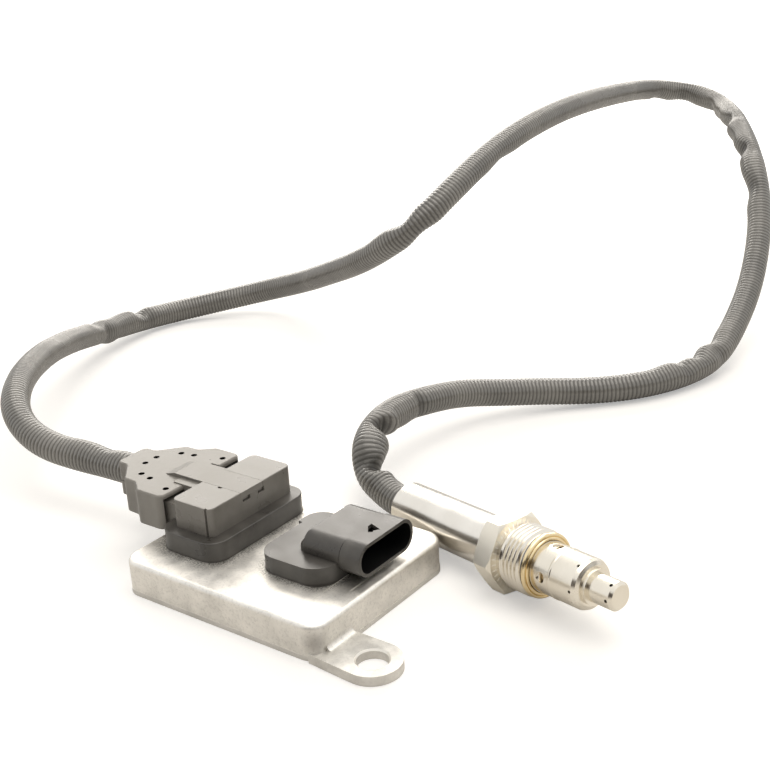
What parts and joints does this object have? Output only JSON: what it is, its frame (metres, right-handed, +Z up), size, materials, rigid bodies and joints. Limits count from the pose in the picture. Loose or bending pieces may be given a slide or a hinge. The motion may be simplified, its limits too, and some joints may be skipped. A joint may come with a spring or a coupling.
{
  "type": "nitrogen oxide sensor",
  "caption": "Nitrogen oxide sensor: a threaded exhaust probe joined by a corrugated cable conduit to a flat metal control unit with a latched cable plug and a vehicle socket.",
  "frame": {"origin": "middle of the control unit's footprint on the surface it lies on", "axes": "+X from the cable plug towards the vehicle socket, along the control unit's long side; +Y along its short side, towards the conduit's loop; +Z up"},
  "size_m": [0.3197, 0.4434, 0.0975],
  "materials": {
    "cast_aluminium": "satin die-cast, slightly tarnished",
    "plate_aluminium": "satin sheet",
    "sealant": "matte",
    "board": "satin solder mask",
    "components": "matte",
    "screw_steel": "zinc plated",
    "header_plastic": "fine matte moulding",
    "plug_plastic": "fine matte moulding",
    "contact_metal": "tin and gold plated",
    "seal_rubber": "silicone, matte",
    "wire_insulation": "satin",
    "conduit_plastic": "corrugated, satin",
    "sleeve_steel": "bright drawn steel",
    "grommet_rubber": "matte",
    "shell_steel": "turned",
    "hex_steel": "satin, turned thread",
    "ring_brass": "bright",
    "tube_steel": "bright drawn stainless steel",
    "ceramic_white": "matte",
    "powder_grey": "pressed powder, matte"
  },
  "bodies": {
    "sensor": {"housing": "cast_aluminium", "base_plate": "plate_aluminium", "sealing_bead": "sealant", "circuit_board": "board", "board_components": "components", "board_screws": "screw_steel", "sensor_header": "header_plastic", "sensor_header_pins": "contact_metal", "plug_body": "plug_plastic", "plug_seal": "seal_rubber", "plug_contacts": "contact_metal", "plug_wires": "wire_insulation", "backshell_cover": "plug_plastic", "backshell_base": "plug_plastic", "conduit": "conduit_plastic", "vehicle_header": "header_plastic", "vehicle_header_pins": "contact_metal", "probe_sleeve": "sleeve_steel", "rear_grommet": "grommet_rubber", "probe_leads": "wire_insulation", "contact_holder": "ceramic_white", "contact_springs": "contact_metal", "sensing_element": "ceramic_white", "sensor_shell": "shell_steel", "rear_ceramic": "ceramic_white", "powder_pack": "powder_grey", "front_ceramic": "ceramic_white", "sealing_ring": "ring_brass", "outer_protection_tube": "tube_steel", "inner_protection_tube": "tube_steel"},
    "screw": {"hex_screw": "hex_steel"}
  },
  "joints": [
    {"name": "hex_screw_spin", "type": "hinge", "parent": "sensor", "child": "screw", "pos_m": [0.0569, 0.0331, 0.011], "axis": [0.9595, -0.2733, 0.068], "continuous": true}
  ]
}
